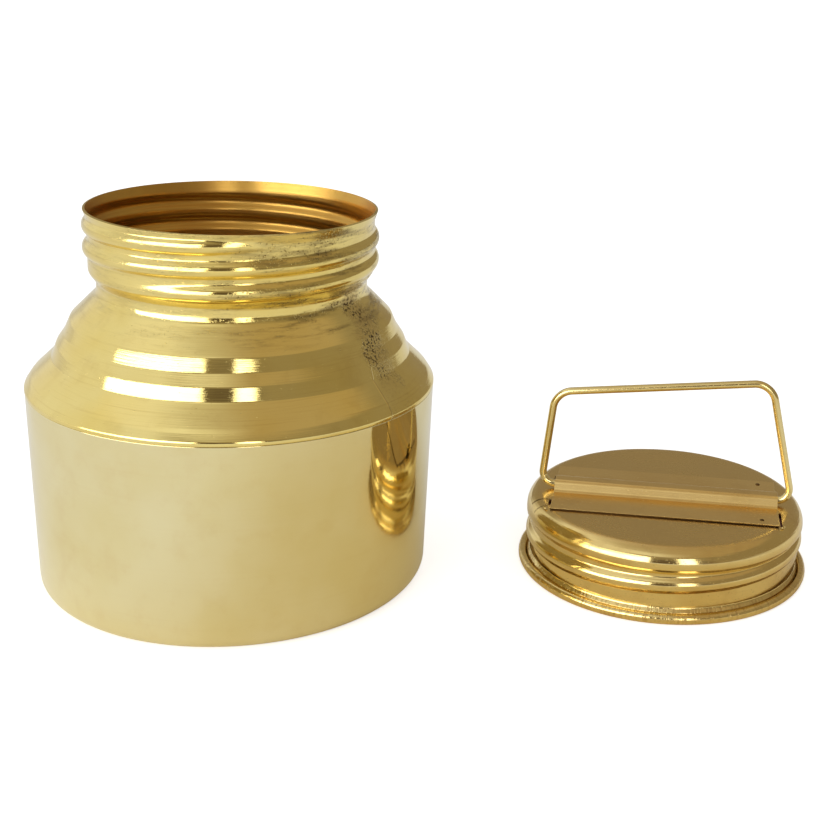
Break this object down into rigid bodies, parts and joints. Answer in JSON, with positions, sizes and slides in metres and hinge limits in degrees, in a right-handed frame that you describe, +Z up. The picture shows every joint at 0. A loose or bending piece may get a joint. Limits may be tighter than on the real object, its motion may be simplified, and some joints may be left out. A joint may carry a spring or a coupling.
{
  "type": "gangajali pot",
  "caption": "Brass gangajali water pot with a stepped shoulder and threaded neck, its screw lid lifted off beside it, with a handle strap and swinging wire bail.",
  "frame": {"origin": "centre of the pot's flat base, on the surface that the pot and the lid stand on", "axes": "+Z up along the pot's axis, +X from the pot's axis towards the axis of the lid beside it"},
  "size_m": [0.2675, 0.1322, 0.126],
  "materials": {
    "polished_brass": "polished",
    "brushed_brass": "brushed",
    "braze_metal": "as brazed, dull",
    "lid_brass": "satin, lightly tarnished",
    "strap_brass": "satin sheet",
    "wire_brass": "drawn",
    "bail_brass": "drawn, polished by handling",
    "disc_rubber": "matt"
  },
  "bodies": {
    "pot": {"lower_body": "polished_brass", "upper_body": "brushed_brass", "crease_braze": "braze_metal"},
    "seal": {"sealing_disc": "disc_rubber"},
    "lid": {"lid_shell": "lid_brass", "rim_wire": "wire_brass", "handle_strap": "strap_brass", "strap_pins": "wire_brass"},
    "bail": {"bail": "bail_brass"}
  },
  "joints": [
    {"name": "lid_lift", "type": "slide", "parent": "pot", "child": "seal", "axis": [0, 0, 1], "range_m": [0, 0.13]},
    {"name": "lid_turn", "type": "hinge", "parent": "seal", "child": "lid", "pos_m": [0.1498, 0, 0], "axis": [0, 0, 1], "continuous": true},
    {"name": "bail_swing", "type": "hinge", "parent": "lid", "child": "bail", "pos_m": [0.1493, -0.00245, 0.0271], "axis": [0.9796, -0.2011, 0], "range_deg": [-88, 88]}
  ]
}
